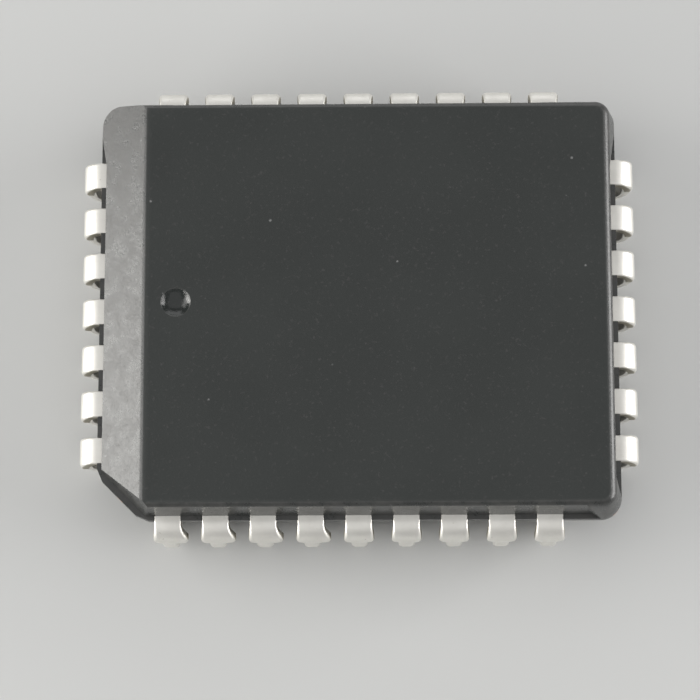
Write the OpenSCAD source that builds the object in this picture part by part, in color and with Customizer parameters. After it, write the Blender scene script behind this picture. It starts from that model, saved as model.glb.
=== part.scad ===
// Plastic leaded chip carrier: an epoxy body moulded round a copper lead frame, with J-shaped
// leads on all four sides. Millimetres. +X runs along the long side, away from the bevelled end,
// and Z = 0 is the plane that the feet of the leads stand on.

/* [Lead pattern] */
// Distance between the centres of neighbouring leads
lead_pitch = 1.27; // [1.2:0.01:1.5]
// Leads on each long side
leads_long = 9; // [7:2:11]
// Leads on each short side
leads_short = 7; // [5:2:9]
// Distance from the centre of the last lead of a row to the corner of the body
corner_room = 1.905; // [1.8:0.005:2.2]

/* [Body] */
// Height of the top face above the feet
height = 3.42; // [3.2:0.01:3.8]
// Height of the underside above the feet
standoff = 0.6; // [0.45:0.01:0.75]
// Radius of the upright corners
corner_r = 0.56; // [0.5:0.01:0.8]
// Leg of the 45 degree cut at the corner after the first leads
corner_cut = 1.2; // [1:0.01:1.4]
// Inset of the top edge from the outline of the rim
top_inset = 0.22; // [0.18:0.01:0.28]
// Inset of the bottom edge from the outline of the rim
base_inset = 0.28; // [0.2:0.01:0.35]
// Radius of the rounded top edge
edge_r = 0.25; // [0.1:0.01:0.3]
// Width of the rim that stands out between the leads
rim_w = 0.125; // [0.08:0.005:0.16]
// Width of the rim along the cut corner
cut_rim_w = 0.17; // [0.12:0.005:0.22]
// Inset of the top edge at the cut corner
cut_inset = 0.34; // [0.26:0.01:0.38]
// Depth of the eased corners at both ends of the cut
cut_ease = 0.08; // [0.02:0.005:0.1]
// Length over which the rim runs out beyond the last lead towards the back corners
back_flare_l = 0.75; // [0.5:0.01:0.8]
// Length over which the rim runs out just before the corner between front and right
front_flare_l = 0.25; // [0.2:0.01:0.5]

/* [Marks in the body] */
// Width of the bevel at the first lead's end, seen from above
bevel_run = 1.18; // [0.9:0.01:1.3]
// Height of the wall left under the bevel
bevel_lip = 0.25; // [0.15:0.01:0.4]
// Radius of the soft ridge between the top face and the bevel
ridge_r = 0.45; // [0.2:0.01:0.6]
// Diameter of the index dimple
dimple_d = 0.8; // [0.5:0.01:1.2]
// Depth of the index dimple
dimple_depth = 0.16; // [0.06:0.01:0.2]
// Distance from the outline of the bevelled end to the middle of the dimple
dimple_in = 2.14; // [2:0.01:2.6]
// Diameter of the two ejector marks underneath
ejector_d = 1.6; // [1:0.05:2]
// Depth of the ejector marks
ejector_depth = 0.08; // [0.04:0.01:0.15]
// Distance of each ejector mark from the middle
ejector_x = 2.9; // [2:0.05:3]

/* [Leads] */
// Thickness of the lead frame
lead_t = 0.25; // [0.2:0.01:0.3]
// Height of the leads' upper faces above the feet
lead_top = 2.35; // [2.2:0.01:2.5]
// Distance that the leads reach beyond the rim
lead_reach = 0.51; // [0.5:0.005:0.6]
// Width of a lead where it leaves the body
neck_w = 0.71; // [0.6:0.01:0.76]
// Distance beyond the rim at which a lead starts to widen
neck_out = 0.13; // [0.05:0.01:0.2]
// Width of a lead at the bend, where the dam bar was cut off
bar_w = 0.81; // [0.77:0.01:0.85]
// Width of the foot
foot_w = 0.44; // [0.33:0.01:0.53]
// Outer radius of the shoulder bend
bend_r = 0.5; // [0.4:0.01:0.5]
// Outer radius of the foot's curl
curl_r = 1; // [0.85:0.01:1.05]
// Angle that the foot curls through, in degrees
curl_angle = 155; // [145:1:160]
// Height of the wide part below the bend
wide_h = 0.08; // [0.04:0.01:0.4]
// Height of the taper between the wide part and the foot
taper_h = 0.18; // [0.1:0.01:0.25]
// Stub of dam bar left on one side of the first leads after the cut corner
stub_w = 0.12; // [0:0.01:0.2]
// Number of leads that carry such a stub
stub_count = 4; // [0:1:5]
// Clearance round the lead tips in the pockets underneath
pocket_gap = 0.1; // [0.06:0.01:0.12]

/* [Inside] */
// Length of the die
die_l = 6.2; // [5.4:0.05:6.6]
// Width of the die
die_w = 4.4; // [4:0.05:4.8]
// Thickness of the die
die_t = 0.38; // [0.25:0.01:0.45]
// Thickness of the die attach
attach_t = 0.03; // [0.02:0.005:0.06]
// Margin of die attach round the die
attach_rim = 0.12; // [0.05:0.01:0.2]
// Margin of the paddle round the die
paddle_rim = 0.5; // [0.3:0.01:0.6]
// Distance that the paddle lies below the leads
paddle_drop = 0.2; // [0.1:0.01:0.3]
// Width of a tie bar
tie_w = 0.24; // [0.18:0.01:0.3]
// Epoxy over the thinned ends of the tie bars
tie_cover = 0.12; // [0.08:0.01:0.16]
// Gap between the paddle and the finger tips
tip_gap = 0.5; // [0.4:0.01:0.6]
// Width of a finger tip
tip_w = 0.36; // [0.3:0.01:0.42]
// Distance of the last finger tip of a row from the corner of the paddle
tip_inset = 0.15; // [0.1:0.01:0.3]
// Straight length of each finger behind the wall
neck_l = 0.6; // [0.4:0.01:0.8]
// Diameter of a bond wire
wire_d = 0.03; // [0.025:0.005:0.05]
// Diameter of a wire's ball on the die and of its stitch on the finger
bond_d = 0.09; // [0.07:0.005:0.12]
// Height of the ball and the stitch
bond_h = 0.04; // [0.035:0.005:0.06]
// Rise of a wire's loop above its chord
loop_h = 0.32; // [0.2:0.01:0.36]
// Distance of the pads from the edge of the die
pad_in = 0.14; // [0.1:0.01:0.2]
// Distance of the last pad of a row from the corner of the die
pad_corner = 0.6; // [0.4:0.01:0.8]
// Distance of the stitch from the end of the finger
stitch_in = 0.22; // [0.15:0.01:0.3]

/* [Hidden] */
// Cutting bodies reach this far past the surface that they cut
past = 0.5;

// Sides in counter-clockwise order, by the direction that they face
LEFT = 180;
FRONT = 270;
RIGHT = 0;
BACK = 90;
// Direction that the cut corner faces
CUT = 225;

function is_short(side) = side == LEFT || side == RIGHT;
// A row holds a whole number of leads
function row_count(side) = round(is_short(side) ? leads_short : leads_long);
function row_half(side) = (row_count(side) - 1) / 2;
lead_count = 2 * (row_count(LEFT) + row_count(FRONT));

// Half sizes of the rim's outline
half_l = row_half(FRONT) * lead_pitch + corner_room;
half_w = row_half(LEFT) * lead_pitch + corner_room;
function half(side) = is_short(side) ? half_l : half_w;

lead_low = lead_top - lead_t;
wall_h = height - lead_top;

paddle_l = die_l + 2 * paddle_rim;
paddle_w = die_w + 2 * paddle_rim;
paddle_z = lead_low - paddle_drop;
attach_z = paddle_z + lead_t;
die_z = attach_z + attach_t;
die_top = die_z + die_t;
function paddle_side(side) = is_short(side) ? paddle_w : paddle_l;
function paddle_half(side) = (is_short(side) ? paddle_l : paddle_w) / 2;
function die_side(side) = is_short(side) ? die_w : die_l;
function die_half(side) = (is_short(side) ? die_l : die_w) / 2;

// Lead 1 stands in the middle of the left side
function place_of(pin) = (pin - 1 + floor(row_half(LEFT))) % lead_count;
function first_place(side) =
    side == LEFT ? 0
    : side == FRONT ? row_count(LEFT)
    : side == RIGHT ? lead_count / 2
    : lead_count / 2 + row_count(RIGHT);
function side_of(pin) =
    let (place = place_of(pin))
    place < first_place(FRONT) ? LEFT
    : place < first_place(RIGHT) ? FRONT
    : place < first_place(BACK) ? RIGHT
    : BACK;
// Steps along its row from the middle, counter-clockwise
function step_of(pin) = place_of(pin) - first_place(side_of(pin)) - row_half(side_of(pin));
function lead_name(pin) = str("lead_", pin < 10 ? "0" : "", pin);
function has_stub(pin) = side_of(pin) == FRONT && place_of(pin) - first_place(FRONT) < stub_count;

function tip_pitch(side) = (paddle_side(side) - 2 * tip_inset) / (row_count(side) - 1);
function pad_pitch(side) = (die_side(side) - 2 * pad_corner) / (row_count(side) - 1);
function tip_x(side) = paddle_half(side) + tip_gap;
function neck_x(side) = half(side) - neck_l;
// Sideways shift of a finger's tip from its lead
function tip_shift(pin) = step_of(pin) * (tip_pitch(side_of(pin)) - lead_pitch);
function leg_x(side) = half(side) + lead_reach;

$fn = 48;

epoxy = [0.21, 0.23, 0.22];
tin = [0.87, 0.86, 0.83];
copper = [0.78, 0.52, 0.36];
silver_paste = [0.72, 0.72, 0.74];
silicon = [0.38, 0.4, 0.46];
gold = [0.9, 0.72, 0.3];

// Outline of the body

// Centres of the corner arcs, counter-clockwise from the corner between front and right
arc_l = half_l - corner_r;
arc_w = half_w - corner_r;
ARC_CENTRES = [[arc_l, -arc_w], [arc_l, arc_w], [-arc_l, arc_w], [-arc_l, -arc_w]];

// Sweeps a profile round the outline. Its X is the distance outwards from the arc centres, and
// the block inside the centres is filled between two heights.
module swept(low, high) {
    translate([-arc_l, -arc_w, low])
        cube([2 * arc_l, 2 * arc_w, high - low]);
    for (i = [0 : 3]) {
        to = ARC_CENTRES[(i + 1) % 4];
        translate(to)
            rotate([0, 0, 90 * i]) {
                rotate([90, 0, 0])
                    linear_extrude(norm(to - ARC_CENTRES[i]))
                        children();
                rotate_extrude(angle = 90)
                    children();
            }
    }
}

// Wall lines are given as [inset from the rim's outline, height] at the foot and at the head.
// This is the space outside such a line, along a wall whose rim lies at X = x.
module outside_wall(x, foot, head, length) {
    lean = (head - foot) * past / (head.y - foot.y);
    low = foot - lean;
    high = head + lean;
    translate([0, length / 2, 0])
        rotate([90, 0, 0])
            linear_extrude(length)
                polygon([
                    [x - low.x, low.y],
                    [x + corner_cut, low.y],
                    [x + corner_cut, high.y],
                    [x - high.x, high.y]
                ]);
}

// The space outside the same line at the cut corner
module outside_cut(foot, head) {
    rotate([0, 0, CUT])
        outside_wall((half_l + half_w - corner_cut) / sqrt(2), foot, head, 4 * corner_cut);
}

// The space outside the eased corner between the cut and a side
module outside_ease(side, low, high) {
    facing = (side + CUT) / 2;
    start = side == LEFT ? [half_l, half_w - corner_cut] : [half_l - corner_cut, half_w];
    reach = -start.x * cos(facing) - start.y * sin(facing) - cut_ease;
    rotate([0, 0, facing])
        outside_wall(reach, [0, low], [0, high], 2 * (half_l + half_w));
}

lower_foot = [base_inset, standoff];
lower_head = [rim_w, lead_low];

module lower_half() {
    difference() {
        swept(standoff, lead_low)
            polygon([
                [0, standoff],
                [corner_r - lower_foot.x, lower_foot.y],
                [corner_r - lower_head.x, lower_head.y],
                [0, lead_low]
            ]);
        outside_cut(lower_foot, lower_head);
        ejector_marks();
    }
}

// Everything inside the rim's outline between two heights
module rim_slab(low, high) {
    difference() {
        swept(low, high)
            translate([0, low])
                square([corner_r, high - low]);
        outside_cut([0, low], [0, high]);
        for (side = [LEFT, FRONT])
            outside_ease(side, low, high);
    }
}

// Profile of the upper half, with a rounded top edge
module upper_profile() {
    edge = [corner_r - top_inset, height];
    lean = atan(top_inset / wall_h);
    tangent = edge_r / tan(45 + lean / 2);
    on_top = edge - [tangent, 0];
    on_wall = edge + tangent * [sin(lean), -cos(lean)];
    middle = on_top - [0, edge_r];
    difference() {
        polygon([[0, lead_top], [corner_r, lead_top], edge, [0, height]]);
        difference() {
            polygon([on_top, on_top + [0, past], edge + [past, past], on_wall + [past, 0], on_wall, middle]);
            translate(middle)
                circle(edge_r);
        }
    }
}

module upper_half() {
    difference() {
        swept(lead_top, height)
            upper_profile();
        outside_cut([cut_rim_w, lead_top], [cut_inset, height]);
        for (side = [LEFT, FRONT, RIGHT, BACK])
            row_step(side);
        bevel_cut();
        index_dimple();
    }
}

// Step in the upper wall along a row of leads, which leaves the rim standing out. The rim runs out
// gently towards the back corners, and just before the arc of the corner between front and right.
// At the cut corner the step stays open.
module row_step(side) {
    x = half(side);
    row_end = row_half(side) * lead_pitch + neck_w / 2;
    inside = -top_inset - rim_w;
    outside = 0.2 * rim_w;
    open_end = row_end + corner_room;
    arc_start = row_half(side) * lead_pitch + corner_room - corner_r;
    function gentle(shift) = row_end + back_flare_l * (1 + shift / rim_w);
    function late(shift) = arc_start + front_flare_l * shift / rim_w;
    function low(shift) = side == FRONT ? open_end : side == RIGHT ? late(shift) : gentle(shift);
    function high(shift) = side == LEFT ? open_end : side == FRONT ? late(shift) : gentle(shift);
    rotate([0, 0, side])
        intersection() {
            outside_wall(x, [rim_w, lead_top], [top_inset, height], 2 * (half_l + half_w));
            translate([0, 0, lead_top - past])
                linear_extrude(wall_h + 2 * past)
                    polygon([
                        [x + inside, -low(inside)],
                        [x + outside, -low(outside)],
                        [x + outside, high(outside)],
                        [x + inside, high(inside)]
                    ]);
        }
}

// Bevel over the upper wall of the lead 1 end, with a soft ridge and a low wall under it
module bevel_cut() {
    foot_inset = rim_w + (top_inset - rim_w) * bevel_lip / wall_h;
    foot = [-half_l + foot_inset, lead_top + bevel_lip];
    ridge = [foot.x + bevel_run, height];
    fall = atan2(wall_h - bevel_lip, bevel_run);
    tangent = ridge_r * tan(fall / 2);
    on_top = ridge + [tangent, 0];
    on_slope = ridge - tangent * [cos(fall), sin(fall)];
    low = foot - past * [cos(fall), sin(fall)];
    translate([0, half_w + past, 0])
        rotate([90, 0, 0])
            linear_extrude(2 * (half_w + past))
                difference() {
                    polygon([
                        on_top,
                        on_top + [0, past],
                        [low.x, height + past],
                        low,
                        on_slope
                    ]);
                    translate(on_top - [0, ridge_r])
                        circle(ridge_r);
                }
}

module index_dimple() {
    ball_r = (pow(dimple_d / 2, 2) + pow(dimple_depth, 2)) / (2 * dimple_depth);
    translate([-half_l + dimple_in, 0, height - dimple_depth + ball_r])
        sphere(ball_r);
}

module ejector_marks() {
    for (x = [-ejector_x, ejector_x])
        translate([x, 0, standoff - past])
            cylinder(d = ejector_d, h = past + ejector_depth);
}

// Pocket under the body for the tip of one lead
module tip_pocket(pin) {
    side = side_of(pin);
    tip_reach = leg_x(side) - curl_r + curl_r * cos(curl_angle);
    roof = curl_r - (curl_r - lead_t) * sin(curl_angle) + pocket_gap;
    width = foot_w + 2 * pocket_gap;
    at_lead(pin)
        translate([tip_reach - pocket_gap, -width / 2, 0])
            cube([half(side) - tip_reach + pocket_gap, width, roof]);
}

module body() {
    color(epoxy)
        difference() {
            union() {
                lower_half();
                rim_slab(lead_low, lead_top);
                upper_half();
            }
            for (pin = [1 : lead_count]) {
                tip_pocket(pin);
                finger(pin, past);
                wire(pin);
            }
            paddle_plate();
            tie_bars();
            attach_bed();
            silicon_die();
        }
}

// Leads

// Puts a shape at a lead: X points out of the body, Y along the row
module at_lead(pin) {
    rotate([0, 0, side_of(pin)])
        translate([0, step_of(pin) * lead_pitch, 0])
            children();
}

// The part of a lead that the epoxy holds, with its end at the rim or a little past it
module finger(pin, extra = 0) {
    side = side_of(pin);
    shift = tip_shift(pin);
    at_lead(pin)
        translate([0, 0, lead_low])
            linear_extrude(lead_t)
                polygon([
                    [tip_x(side), shift - tip_w / 2],
                    [neck_x(side), -neck_w / 2],
                    [half(side) + extra, -neck_w / 2],
                    [half(side) + extra, neck_w / 2],
                    [neck_x(side), neck_w / 2],
                    [tip_x(side), shift + tip_w / 2]
                ]);
}

// Sector of a flat ring as thick as a lead, from the X axis clockwise through an angle under 180
module ring_sector(r, angle) {
    far = 2 * r;
    difference() {
        circle(r);
        circle(r - lead_t);
        translate([-far, 0])
            square([2 * far, far]);
        rotate(-angle)
            translate([-far, -far])
                square([2 * far, far]);
    }
}

// Shoulder and bend, widening from the neck to the cut dam bar
module shoulder(side, stub) {
    bend_x = leg_x(side) - bend_r;
    intersection() {
        translate([0, bar_w, 0])
            rotate([90, 0, 0])
                linear_extrude(2 * bar_w) {
                    translate([half(side), lead_low])
                        square([bend_x - half(side), lead_t]);
                    translate([bend_x, lead_top - bend_r])
                        rotate(90)
                            ring_sector(bend_r, 90);
                }
        translate([0, 0, lead_top - bend_r])
            linear_extrude(bend_r)
                polygon([
                    [half(side), -neck_w / 2],
                    [half(side) + neck_out, -neck_w / 2],
                    [leg_x(side), -bar_w / 2],
                    [leg_x(side), bar_w / 2 + stub],
                    [half(side) + neck_out, neck_w / 2],
                    [half(side), neck_w / 2]
                ]);
    }
}

// Upright leg: as wide as the cut dam bar, then tapering to the foot
module leg(side, stub) {
    bend_z = lead_top - bend_r;
    wide_z = bend_z - wide_h;
    translate([leg_x(side) - lead_t, 0, 0])
        rotate([90, 0, 90])
            linear_extrude(lead_t)
                polygon([
                    [-foot_w / 2, curl_r],
                    [foot_w / 2, curl_r],
                    [foot_w / 2, wide_z - taper_h],
                    [bar_w / 2 + stub, wide_z],
                    [bar_w / 2 + stub, bend_z],
                    [-bar_w / 2, bend_z],
                    [-bar_w / 2, wide_z],
                    [-foot_w / 2, wide_z - taper_h]
                ]);
}

// Foot, curled in under the body
module foot(side) {
    translate([leg_x(side) - curl_r, foot_w / 2, curl_r])
        rotate([90, 0, 0])
            linear_extrude(foot_w)
                ring_sector(curl_r, curl_angle);
}

module lead(pin) {
    side = side_of(pin);
    stub = has_stub(pin) ? stub_w : 0;
    color(tin) {
        finger(pin);
        at_lead(pin) {
            shoulder(side, stub);
            leg(side, stub);
            foot(side);
        }
    }
}

// Inside

module paddle_plate() {
    translate([-paddle_l / 2, -paddle_w / 2, paddle_z])
        cube([paddle_l, paddle_w, lead_t]);
}

// One bar from a corner of the paddle up to the height of the leads and out to the rim, where it
// is thinned so that epoxy covers it
module tie_bar(from, to) {
    along = to - from;
    start = -paddle_rim;
    end = norm(along) + corner_cut;
    rise_from = tip_gap;
    rise_to = rise_from + 2 * paddle_drop;
    thin_from = norm(along) - corner_r;
    top = paddle_drop + lead_t;
    translate([from.x, from.y, paddle_z])
        rotate([0, 0, atan2(along.y, along.x)])
            translate([0, tie_w / 2, 0])
                rotate([90, 0, 0])
                    linear_extrude(tie_w)
                        polygon([
                            [start, 0],
                            [rise_from, 0],
                            [rise_to, paddle_drop],
                            [end, paddle_drop],
                            [end, top - tie_cover],
                            [thin_from, top - tie_cover],
                            [thin_from, top],
                            [rise_to, top],
                            [rise_from, lead_t],
                            [start, lead_t]
                        ]);
}

// Four tie bars, trimmed flush with the rim
module tie_bars() {
    corner = [paddle_l, paddle_w] / 2;
    ends = [[1, -1], [1, 1], [-1, 1], [-1, -1]];
    intersection() {
        for (i = [0 : 3])
            tie_bar([ends[i].x * corner.x, ends[i].y * corner.y], ARC_CENTRES[i]);
        rim_slab(paddle_z - past, lead_top + past);
    }
}

module die_paddle() {
    color(copper) {
        paddle_plate();
        tie_bars();
    }
}

module attach_bed() {
    size = [die_l, die_w] + 2 * attach_rim * [1, 1];
    translate([-size.x / 2, -size.y / 2, attach_z])
        cube([size.x, size.y, attach_t]);
}

module die_attach() {
    color(silver_paste)
        attach_bed();
}

module silicon_die() {
    translate([-die_l / 2, -die_w / 2, die_z])
        cube([die_l, die_w, die_t]);
}

module die() {
    color(silicon)
        silicon_die();
}

// One wire: a ball on the die, an arc, and a stitch on the finger
module wire(pin) {
    side = side_of(pin);
    pad = [die_half(side) - pad_in, step_of(pin) * pad_pitch(side), die_top];
    drift = tip_shift(pin) * (1 - stitch_in / (neck_x(side) - tip_x(side)));
    stitch = [tip_x(side) + stitch_in, step_of(pin) * lead_pitch + drift, lead_top];
    span = stitch - pad;
    run = norm([span.x, span.y]);
    chord = norm(span);
    arc_r = pow(chord, 2) / (8 * loop_h) + loop_h / 2;
    half_angle = asin(chord / (2 * arc_r));
    rotate([0, 0, side]) {
        translate(pad)
            cylinder(d = bond_d, h = bond_h);
        translate(stitch)
            cylinder(d = bond_d, h = bond_h);
        translate(pad + [0, 0, bond_h / 2])
            rotate([0, 0, atan2(span.y, span.x)])
                rotate([90, 0, 0])
                    rotate(atan2(span.z, run))
                        translate([chord / 2, loop_h - arc_r, 0])
                            rotate(90 - half_angle)
                                rotate_extrude(angle = 2 * half_angle)
                                    translate([arc_r, 0])
                                        circle(d = wire_d);
    }
}

module bond_wires() {
    color(gold)
        for (pin = [1 : lead_count])
            wire(pin);
}

body();
die_paddle();
die_attach();
die();
bond_wires();
for (pin = [1 : lead_count])
    lead(pin);
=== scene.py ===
"""Looks of a plastic leaded chip carrier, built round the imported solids.

Lengths are millimetres, angles degrees and colours linear, unless they say so.
"""
import math

import bmesh
import bpy
from mathutils import Matrix, Vector


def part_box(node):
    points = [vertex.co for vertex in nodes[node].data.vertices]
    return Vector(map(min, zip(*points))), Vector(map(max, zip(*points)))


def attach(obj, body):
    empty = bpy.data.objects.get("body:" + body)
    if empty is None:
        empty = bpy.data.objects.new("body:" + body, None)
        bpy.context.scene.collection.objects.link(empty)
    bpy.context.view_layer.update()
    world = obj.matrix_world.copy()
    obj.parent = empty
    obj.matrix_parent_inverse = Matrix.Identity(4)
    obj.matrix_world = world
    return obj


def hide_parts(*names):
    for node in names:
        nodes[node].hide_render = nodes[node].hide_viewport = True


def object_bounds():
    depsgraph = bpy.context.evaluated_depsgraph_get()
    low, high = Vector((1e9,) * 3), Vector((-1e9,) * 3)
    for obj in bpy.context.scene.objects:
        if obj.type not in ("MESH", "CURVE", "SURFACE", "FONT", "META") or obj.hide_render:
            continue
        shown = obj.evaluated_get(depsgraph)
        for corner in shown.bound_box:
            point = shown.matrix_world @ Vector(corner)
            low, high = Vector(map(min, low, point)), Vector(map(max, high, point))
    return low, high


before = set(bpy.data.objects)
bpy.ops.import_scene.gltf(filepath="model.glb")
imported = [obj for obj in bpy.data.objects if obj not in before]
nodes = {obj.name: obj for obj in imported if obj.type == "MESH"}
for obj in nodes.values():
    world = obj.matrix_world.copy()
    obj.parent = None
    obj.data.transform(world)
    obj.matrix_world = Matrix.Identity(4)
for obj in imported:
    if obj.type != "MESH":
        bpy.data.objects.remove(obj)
cad_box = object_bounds()

MM = 0.001

# Sizes read from the solids
body_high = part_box("body")[1] / MM
all_high = cad_box[1] / MM
HALF = {"long": body_high.x, "short": body_high.y}
LEG_FACE = {"long": all_high.x, "short": all_high.y}
HEIGHT = body_high.z
LEAD_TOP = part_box("lead_01")[1].z / MM

# Lead pattern, as in the solids. The rows run counter-clockwise from the bevelled end.
# Each has its turn about the upright axis, the direction that it faces, and its number of leads.
PITCH = 1.27
ROWS = (
    (180, "long", 7),
    (270, "short", 9),
    (0, "long", 7),
    (90, "short", 9),
)
LEADS_BEFORE_LEAD_1 = 3
STUB_LEADS = range(5, 9)

# Section of a lead and the widths along it
LEAD_T = 0.25
NECK_W = 0.71
NECK_OUT = 0.13
BAR_W = 0.81
FOOT_W = 0.44
TIP_W = 0.36
STUB_W = 0.12
BEND_R = 0.5
CURL_R = 1.0
CURL_ANGLE = 155
WIDE_BELOW_BEND = 0.08
WIDE_Z = LEAD_TOP - BEND_R - WIDE_BELOW_BEND
TAPER_H = 0.18
FLAT_ROLL_R = 0.035
BEND_ROLL_R = 0.11
FULL_ROLL_TILT = 50
BURR_R = 0.02
EDGE_STEPS = 4
BEND_STEPS = 14
TAPER_STEPS = 5
CURL_STEPS = 26

# Length of a lead's neck inside the epoxy
NECK_L = 0.6

# Shading of the body: edges that bend more than the sharp angle stay crisp
SHARP_ANGLE = 28
FLAT_ANGLE = 0.3
WELD_M = 1e-7
FACE_WEIGHT = 80

# Index dimple, as in the solids
DIMPLE_FROM_END = 2.14
DIMPLE_X = DIMPLE_FROM_END - HALF["long"]
DIMPLE_R = 0.4

# Camera, fitted to the photograph's 700 by 700 frame
FRAME_PX = 700
FOCAL_PX = 2917.3
SENSOR = 36.0
NEAR_CLIP = 1.0
CAMERA_TILT = 12.35
CAMERA_TURN = 1.197
CAMERA_ROLL = -0.065
CAMERA_DISTANCE = 78.42
CAMERA_TARGET = Vector((-0.223, -1.1, LEAD_TOP))


def between(a, b, share):
    return a + (b - a) * share


# Materials


class Graph:
    """A material's nodes, with coordinates in millimetres."""

    def __init__(self, name):
        self.material = bpy.data.materials.new(name)
        self.material.use_nodes = True
        self.tree = self.material.node_tree
        self.shader = self.tree.nodes["Principled BSDF"]
        coordinates = self.node("ShaderNodeTexCoord")
        place = coordinates.outputs["Object"]
        self.normal = coordinates.outputs["Normal"]
        scaled = self.node("ShaderNodeVectorMath", operation="SCALE")
        scaled.inputs["Scale"].default_value = 1 / MM
        self.link(place, scaled.inputs[0])
        self.place = scaled.outputs[0]

    def node(self, kind, **settings):
        made = self.tree.nodes.new(kind)
        for key, value in settings.items():
            setattr(made, key, value)
        return made

    def link(self, out, socket):
        self.tree.links.new(out, socket)

    def feed(self, socket, value):
        if isinstance(value, bpy.types.NodeSocket):
            self.link(value, socket)
        else:
            socket.default_value = value

    def axes(self, vector):
        made = self.node("ShaderNodeSeparateXYZ")
        self.link(vector, made.inputs[0])
        return made.outputs

    def stretched(self, scale):
        made = self.node("ShaderNodeMapping")
        made.inputs["Scale"].default_value = scale
        self.link(self.place, made.inputs["Vector"])
        return made.outputs["Vector"]

    def noise(self, per_mm, detail=3.0, roughness=0.55, place=None):
        made = self.node("ShaderNodeTexNoise")
        made.inputs["Scale"].default_value = per_mm
        made.inputs["Detail"].default_value = detail
        made.inputs["Roughness"].default_value = roughness
        self.link(place or self.place, made.inputs["Vector"])
        return made.outputs["Fac"]

    def cells(self, per_mm):
        made = self.node("ShaderNodeTexVoronoi")
        made.inputs["Scale"].default_value = per_mm
        self.link(self.place, made.inputs["Vector"])
        return made.outputs["Distance"]

    def math(self, operation, a, b=0.0):
        made = self.node("ShaderNodeMath", operation=operation)
        self.feed(made.inputs[0], a)
        self.feed(made.inputs[1], b)
        return made.outputs[0]

    def ramp(self, value, low, high, to_low=0.0, to_high=1.0):
        made = self.node("ShaderNodeMapRange", interpolation_type="SMOOTHSTEP")
        self.feed(made.inputs["Value"], value)
        made.inputs["From Min"].default_value = low
        made.inputs["From Max"].default_value = high
        self.feed(made.inputs["To Min"], to_low)
        self.feed(made.inputs["To Max"], to_high)
        return made.outputs["Result"]

    def mix(self, share, a, b):
        made = self.node("ShaderNodeMix", data_type="RGBA")
        self.feed(made.inputs["Factor"], share)
        self.feed(made.inputs["A"], a)
        self.feed(made.inputs["B"], b)
        return made.outputs["Result"]

    def bump(self, height, strength, depth):
        made = self.node("ShaderNodeBump")
        made.inputs["Strength"].default_value = strength
        made.inputs["Distance"].default_value = depth * MM
        self.link(height, made.inputs["Height"])
        return made.outputs["Normal"]

    def put(self, **sockets):
        for name, value in sockets.items():
            self.feed(self.shader.inputs[name.replace("_", " ")], value)
        return self.material


def grey(level):
    return (level, level, level, 1.0)


# Epoxy
TOP_TONES = ((0.0025, 0.0058, 0.0046, 1), (0.005, 0.0085, 0.0072, 1))
TOP_GRAIN = grey(0.032)
TOP_ROUGH = 0.62
# Wall tones and wall grain are painted light: paler than the top as if lit by the side lamps, though the
# compound is the same all round
WALL_LIT_TONES = ((0.022, 0.024, 0.023, 1), (0.042, 0.042, 0.04, 1))
WALL_LIT_GRAIN = grey(0.1)
WALL_ROUGH = (0.27, 0.36)
SPECK_TONE = grey(0.16)
DIMPLE_ROUGH = 0.15
EPOXY_IOR = 1.65
EPOXY_BUMP = 0.35
EPOXY_BUMP_DEPTH = 0.02


def epoxy_material():
    """Moulding compound: nearly black and dull on top; the walls are painted paler as if lit by the side
    lamps, and are smoother and speckled.
    """
    g = Graph("moulding_compound")
    x, y, z = g.axes(g.place)
    upward = g.axes(g.normal)[2]
    above_leads = g.ramp(z, LEAD_TOP + 0.1, LEAD_TOP + 0.4)
    top = g.math("MULTIPLY", g.ramp(upward, 0.9, 0.997), above_leads)
    across = g.math("SUBTRACT", x, DIMPLE_X)
    from_mark = g.math("SQRT", g.math("ADD", g.math("MULTIPLY", across, across), g.math("MULTIPLY", y, y)))
    within_mark = g.ramp(from_mark, DIMPLE_R - 0.04, DIMPLE_R, 1, 0)
    dimple = g.math("MULTIPLY", within_mark, g.ramp(z, HEIGHT - 0.3, HEIGHT - 0.2))
    top = g.math("MAXIMUM", top, dimple)
    cloud = g.noise(0.35, detail=2)
    blotch = g.noise(2.6)
    grain = g.noise(11, detail=4, roughness=0.65)
    pits = g.cells(7)
    uneven_cells = g.math("ADD", g.cells(1), g.math("MULTIPLY", grain, 0.08))
    specks = g.ramp(uneven_cells, 0.05, 0.085, 1, 0)
    top_tone = g.mix(g.ramp(cloud, 0.35, 0.65), *TOP_TONES)
    top_tone = g.mix(g.ramp(grain, 0.54, 0.78), top_tone, TOP_GRAIN)
    # Painted light: walls, bevel and ledges take the paler tones, the top keeps the dark ones
    wall_lit_tone = g.mix(g.ramp(blotch, 0.3, 0.7), *WALL_LIT_TONES)
    wall_lit_tone = g.mix(g.ramp(grain, 0.62, 0.78), wall_lit_tone, WALL_LIT_GRAIN)
    tone = g.mix(specks, g.mix(top, wall_lit_tone, top_tone), SPECK_TONE)
    wall_rough = g.ramp(blotch, 0.3, 0.7, *WALL_ROUGH)
    uneven = g.ramp(grain, 0.3, 0.7, 0.88, 1.1)
    rough = g.math("MULTIPLY", uneven, g.ramp(top, 0, 1, wall_rough, TOP_ROUGH))
    rough = g.ramp(dimple, 0, 1, rough, DIMPLE_ROUGH)
    height = g.math("ADD", grain, g.ramp(pits, 0.0, 0.5, 0.0, 0.15))
    height = g.math("MULTIPLY", height, g.ramp(top, 0, 1, 0.4, 1))
    normal = g.bump(height, EPOXY_BUMP, EPOXY_BUMP_DEPTH)
    return g.put(Base_Color=tone, Roughness=rough, IOR=EPOXY_IOR, Normal=normal)


# Tin plating
TIN_TONES = ((0.87, 0.855, 0.81, 1), (0.80, 0.785, 0.745, 1))
TIN_SPOT = (0.64, 0.61, 0.55, 1)
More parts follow.
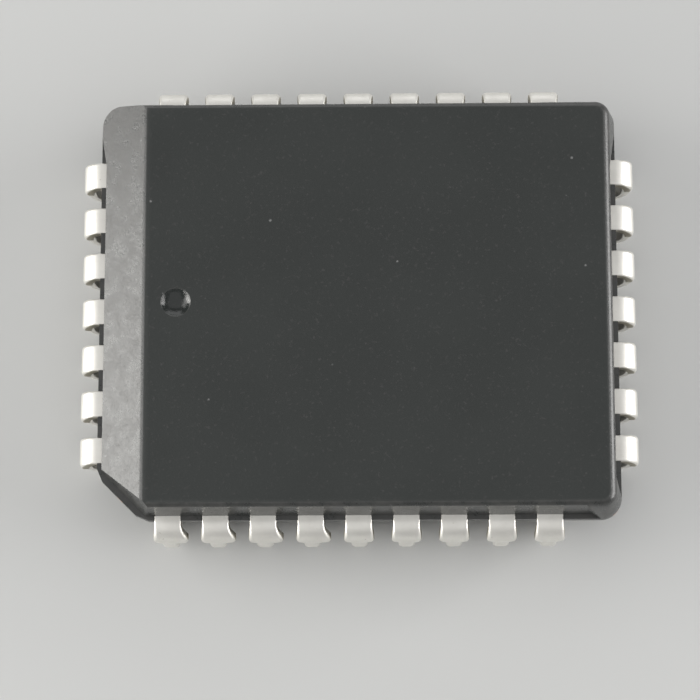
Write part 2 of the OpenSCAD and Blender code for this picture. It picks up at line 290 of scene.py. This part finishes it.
# Sideways faces by the dam bar: partly bare cut metal, partly painted shade between the leads
TIN_CUT_AND_SHADE = (0.4, 0.375, 0.31, 1)
TIN_ROUGH = (0.45, 0.54)
TIN_BUMP = 0.3
TIN_BUMP_DEPTH = 0.012
LINES_ACROSS = 28
LINES_ALONG = 1.6


def tin_material(name, across):
    """Satin tin plating with fine lines along the lead, and darker where the dam bar was cut off: partly bare
    cut metal, partly painted shade between the leads.
    """
    g = Graph(name)
    z = g.axes(g.place)[2]
    sideways = g.math("ABSOLUTE", g.axes(g.normal)["xyz".index(across)])
    below_top = g.ramp(z, LEAD_TOP - 0.12, LEAD_TOP - 0.02, 1, 0)
    by_bar = g.math("MULTIPLY", g.ramp(z, WIDE_Z - TAPER_H, WIDE_Z), below_top)
    # Painted shade and bare cut metal on the sideways faces at the dam bar
    cut_and_shade = g.math("MULTIPLY", g.ramp(sideways, 0.85, 0.97), by_bar)
    stretch = tuple(LINES_ACROSS if axis == across else LINES_ALONG for axis in "xyz")
    lines = g.noise(1, place=g.stretched(stretch))
    cloud = g.noise(1.4)
    spots = g.noise(9, detail=2)
    tone = g.mix(g.ramp(cloud, 0.35, 0.7), *TIN_TONES)
    tone = g.mix(g.ramp(spots, 0.68, 0.8), tone, TIN_SPOT)
    tone = g.mix(cut_and_shade, tone, TIN_CUT_AND_SHADE)
    rough = g.ramp(cloud, 0.3, 0.7, *TIN_ROUGH)
    height = g.math("ADD", lines, g.math("MULTIPLY", spots, 0.5))
    normal = g.bump(height, TIN_BUMP, TIN_BUMP_DEPTH)
    return g.put(Base_Color=tone, Metallic=1.0, Roughness=rough, Normal=normal)


def metal_material(name, light, dark, rough, per_mm):
    """A metal inside the body, clouded between two colours."""
    g = Graph(name)
    cloud = g.noise(per_mm, detail=4)
    grain = g.noise(per_mm * 8, detail=3)
    tone = g.mix(g.ramp(cloud, 0.3, 0.7), light, dark)
    return g.put(
        Base_Color=tone,
        Metallic=1.0,
        Roughness=g.ramp(grain, 0.3, 0.7, rough * 0.8, rough * 1.2),
        Normal=g.bump(grain, 0.2, 0.01),
    )


EPOXY = epoxy_material()
TIN = {"long": tin_material("tin_plate_x", "y"), "short": tin_material("tin_plate_y", "x")}
COPPER = metal_material("stamped_copper", (0.78, 0.44, 0.3, 1), (0.62, 0.34, 0.22, 1), 0.35, 2)
PASTE = metal_material("silver_paste", (0.6, 0.6, 0.62, 1), (0.48, 0.48, 0.5, 1), 0.55, 6)
SILICON = metal_material("silicon", (0.24, 0.25, 0.31, 1), (0.2, 0.21, 0.28, 1), 0.12, 3)
GOLD = metal_material("gold_wire", (0.95, 0.7, 0.26, 1), (0.9, 0.62, 0.2, 1), 0.22, 10)


def paint(thing, material):
    thing.data.materials.clear()
    thing.data.materials.append(material)


# Body: the solid itself, with its fillets shaded smooth


def add_crisp_shading(group, smooth, end):
    """Keeps the edges that bend more than the sharp angle crisp."""
    bend = group.nodes.new("GeometryNodeInputMeshEdgeAngle")
    sharp = group.nodes.new("FunctionNodeCompare")
    sharp.data_type = "FLOAT"
    sharp.operation = "GREATER_THAN"
    group.links.new(bend.outputs["Unsigned Angle"], sharp.inputs[0])
    sharp.inputs[1].default_value = math.radians(SHARP_ANGLE)
    crisp = group.nodes.new("GeometryNodeSetShadeSmooth")
    crisp.domain = "EDGE"
    crisp.inputs["Shade Smooth"].default_value = False
    group.links.new(smooth.outputs["Geometry"], crisp.inputs["Geometry"])
    group.links.new(sharp.outputs["Result"], crisp.inputs["Selection"])
    group.links.new(crisp.outputs["Geometry"], end.inputs[0])


def shading_group():
    group = bpy.data.node_groups.new("shading", "GeometryNodeTree")
    for way in ("INPUT", "OUTPUT"):
        group.interface.new_socket("Geometry", in_out=way, socket_type="NodeSocketGeometry")
    start = group.nodes.new("NodeGroupInput")
    smooth = group.nodes.new("GeometryNodeSetShadeSmooth")
    end = group.nodes.new("NodeGroupOutput")
    group.links.new(start.outputs[0], smooth.inputs["Geometry"])
    add_crisp_shading(group, smooth, end)
    return group


def shade(thing):
    """Shades a solid with modifiers, and leaves its own mesh alone."""
    weld = thing.modifiers.new("weld", "WELD")
    weld.merge_threshold = WELD_M
    flat = thing.modifiers.new("flat_faces", "DECIMATE")
    flat.decimate_type = "DISSOLVE"
    flat.angle_limit = math.radians(FLAT_ANGLE)
    smooth = thing.modifiers.new("smooth", "NODES")
    smooth.node_group = shading_group()
    even = thing.modifiers.new("even_faces", "WEIGHTED_NORMAL")
    even.weight = FACE_WEIGHT
    even.keep_sharp = True


paint(nodes["body"], EPOXY)
shade(nodes["body"])
for name, material in (("die_paddle", COPPER), ("die_attach", PASTE), ("die", SILICON), ("bond_wires", GOLD)):
    paint(nodes[name], material)


# Leads


def rounded_section(low, high, roll):
    """Corner points of a lead's section: across the lead, and down from its outer face."""
    corners = (
        (high - roll, roll, roll, 0),
        (low + roll, roll, roll, 90),
        (low + BURR_R, LEAD_T - BURR_R, BURR_R, 180),
        (high - BURR_R, LEAD_T - BURR_R, BURR_R, 270),
    )
    for across, down, radius, start in corners:
        for step in range(EDGE_STEPS + 1):
            angle = math.radians(start + 90 * step / EDGE_STEPS)
            yield across + radius * math.cos(angle), down - radius * math.sin(angle)


def lead_stations(row_half, leg_face, tip_x, tip_shift, stub):
    """Places along a lead: outer face point, how far that face leans outwards, and the lead's two sides."""
    neck = NECK_W / 2
    bar = BAR_W / 2
    foot = FOOT_W / 2
    yield tip_x, LEAD_TOP, 0, tip_shift - TIP_W / 2, tip_shift + TIP_W / 2
    yield row_half - NECK_L, LEAD_TOP, 0, -neck, neck
    bend_x = leg_face - BEND_R
    bend_z = LEAD_TOP - BEND_R
    widen_x = row_half + NECK_OUT
    for step in range(BEND_STEPS + 1):
        angle = 90 * step / BEND_STEPS
        x = bend_x + BEND_R * math.sin(math.radians(angle))
        share = max(0.0, (x - widen_x) / (leg_face - widen_x))
        low = -between(neck, bar, share)
        high = between(neck, bar, share) + stub * share**2
        yield x, bend_z + BEND_R * math.cos(math.radians(angle)), angle, low, high
    for step in range(TAPER_STEPS + 1):
        share = step / TAPER_STEPS
        low = -between(bar, foot, share)
        high = between(bar + stub, foot, share)
        yield leg_face, WIDE_Z - TAPER_H * share, 90, low, high
    for step in range(CURL_STEPS + 1):
        angle = CURL_ANGLE * step / CURL_STEPS
        x = leg_face - CURL_R + CURL_R * math.cos(math.radians(angle))
        yield x, CURL_R - CURL_R * math.sin(math.radians(angle)), 90 + angle, -foot, foot


def lead_mesh(name, stations):
    mesh = bmesh.new()
    rings = []
    for x, z, tilt, low, high in stations:
        roll = between(FLAT_ROLL_R, BEND_ROLL_R, min(1.0, tilt / FULL_ROLL_TILT))
        out_x = math.sin(math.radians(tilt))
        out_z = math.cos(math.radians(tilt))
        ring = [
            mesh.verts.new(Vector((x - down * out_x, across, z - down * out_z)) * MM)
            for across, down in rounded_section(low, high, roll)
        ]
        rings.append(ring)
    count = len(rings[0])
    for ring, after in zip(rings, rings[1:]):
        for i in range(count):
            j = (i + 1) % count
            face = mesh.faces.new((ring[i], ring[j], after[j], after[i]))
            face.smooth = True
    for ring in (rings[0], rings[-1]):
        cap = mesh.faces.new(ring)
        for edge in cap.edges:
            edge.smooth = False
    bmesh.ops.recalc_face_normals(mesh, faces=mesh.faces)
    made = bpy.data.meshes.new(name)
    mesh.to_mesh(made)
    mesh.free()
    return made


def add_lead(pin, side_angle, axis, step):
    node = f"lead_{pin:02d}"
    low, high = (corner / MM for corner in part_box(node))
    turn = Matrix.Rotation(math.radians(side_angle), 4, "Z")
    corners = [turn.inverted() @ Vector((x, y, 0)) for x in (low.x, high.x) for y in (low.y, high.y)]
    tip_x = min(corner.x for corner in corners)
    least = min(abs(corner.y) for corner in corners) if step else 0
    place = step * PITCH
    tip_shift = (least + TIP_W / 2) * (1 if step > 0 else -1) - place if step else 0
    stub = STUB_W if pin in STUB_LEADS else 0
    mesh = lead_mesh(f"j_{node}", lead_stations(HALF[axis], LEG_FACE[axis], tip_x, tip_shift, stub))
    mesh.transform(turn @ Matrix.Translation((0, place * MM, 0)))
    piece = bpy.data.objects.new(f"j_{node}", mesh)
    bpy.context.scene.collection.objects.link(piece)
    paint(piece, TIN[axis])
    normals = piece.modifiers.new("even_faces", "WEIGHTED_NORMAL")
    normals.keep_sharp = True
    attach(piece, "root")
    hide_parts(node)


lead_count = sum(count for _, _, count in ROWS)
place = 0
for side_angle, axis, count in ROWS:
    for i in range(count):
        pin = (place - LEADS_BEFORE_LEAD_1) % lead_count + 1
        add_lead(pin, side_angle, axis, i - (count - 1) / 2)
        place += 1


# Stage

# Lamps: name, place, target, width, height, radiance and colour
CHIP = (0, 0, 3)
LAMPS = (
    ("left_box", (-119, -26, 28), CHIP, 140, 54, 7.5, (1, 0.985, 0.95)),
    ("left_high_box", (-98, 22, 72), CHIP, 90, 40, 2.3, (1, 0.99, 0.97)),
    ("right_box", (119, 0, 34), CHIP, 120, 66, 6.2, (1, 0.99, 0.98)),
    ("back_box", (0, 120, 34), CHIP, 140, 64, 0.9, (1, 1, 1)),
    ("top_box", (0, -30, 160), (0, -30, 0), 240, 340, 0.38, (1, 1, 1)),
)
WORLD_TONE = grey(0.32)
FLOOR_TONE = (0.58, 0.585, 0.58, 1)
FLOOR_ROUGH = 0.9
FLOOR_HALF_M = 2.0


def soft_box(name, centre, target, width, height, radiance, colour):
    """A rectangular lamp that faces the target. At a radiance of 1 it looks as bright as lit white paper."""
    lamp = bpy.data.lights.new(name, "AREA")
    lamp.shape = "RECTANGLE"
    lamp.size = width * MM
    lamp.size_y = height * MM
    lamp.energy = radiance * math.pi * lamp.size * lamp.size_y
    lamp.color = colour
    thing = bpy.data.objects.new(name, lamp)
    thing.location = Vector(centre) * MM
    thing.rotation_mode = "QUATERNION"
    thing.rotation_quaternion = (Vector(target) - Vector(centre)).to_track_quat("-Z", "Y")
    bpy.context.scene.collection.objects.link(thing)


for lamp in LAMPS:
    soft_box(*lamp)

world = bpy.data.worlds.new("studio")
world.use_nodes = True
world.node_tree.nodes["Background"].inputs["Color"].default_value = WORLD_TONE
bpy.context.scene.world = world


def add_floor():
    g = Graph("floor")
    g.put(Base_Color=FLOOR_TONE, Roughness=FLOOR_ROUGH)
    mesh = bmesh.new()
    bmesh.ops.create_grid(mesh, x_segments=1, y_segments=1, size=FLOOR_HALF_M)
    made = bpy.data.meshes.new("floor")
    mesh.to_mesh(made)
    mesh.free()
    floor = bpy.data.objects.new("floor", made)
    bpy.context.scene.collection.objects.link(floor)
    paint(floor, g.material)


add_floor()


def add_camera():
    turn = (
        Matrix.Rotation(math.radians(CAMERA_TURN), 3, "Y")
        @ Matrix.Rotation(math.radians(CAMERA_TILT), 3, "X")
        @ Matrix.Rotation(math.radians(CAMERA_ROLL), 3, "Z")
    )
    lens = bpy.data.cameras.new("camera")
    lens.sensor_width = SENSOR
    lens.lens = FOCAL_PX / FRAME_PX * SENSOR
    lens.clip_start = NEAR_CLIP * MM
    camera = bpy.data.objects.new("camera", lens)
    back = turn @ Vector((0, 0, CAMERA_DISTANCE))
    camera.matrix_world = Matrix.Translation((CAMERA_TARGET + back) * MM) @ turn.to_4x4()
    bpy.context.scene.collection.objects.link(camera)
    bpy.context.scene.camera = camera


add_camera()
bpy.context.scene.view_settings.view_transform = "Standard"
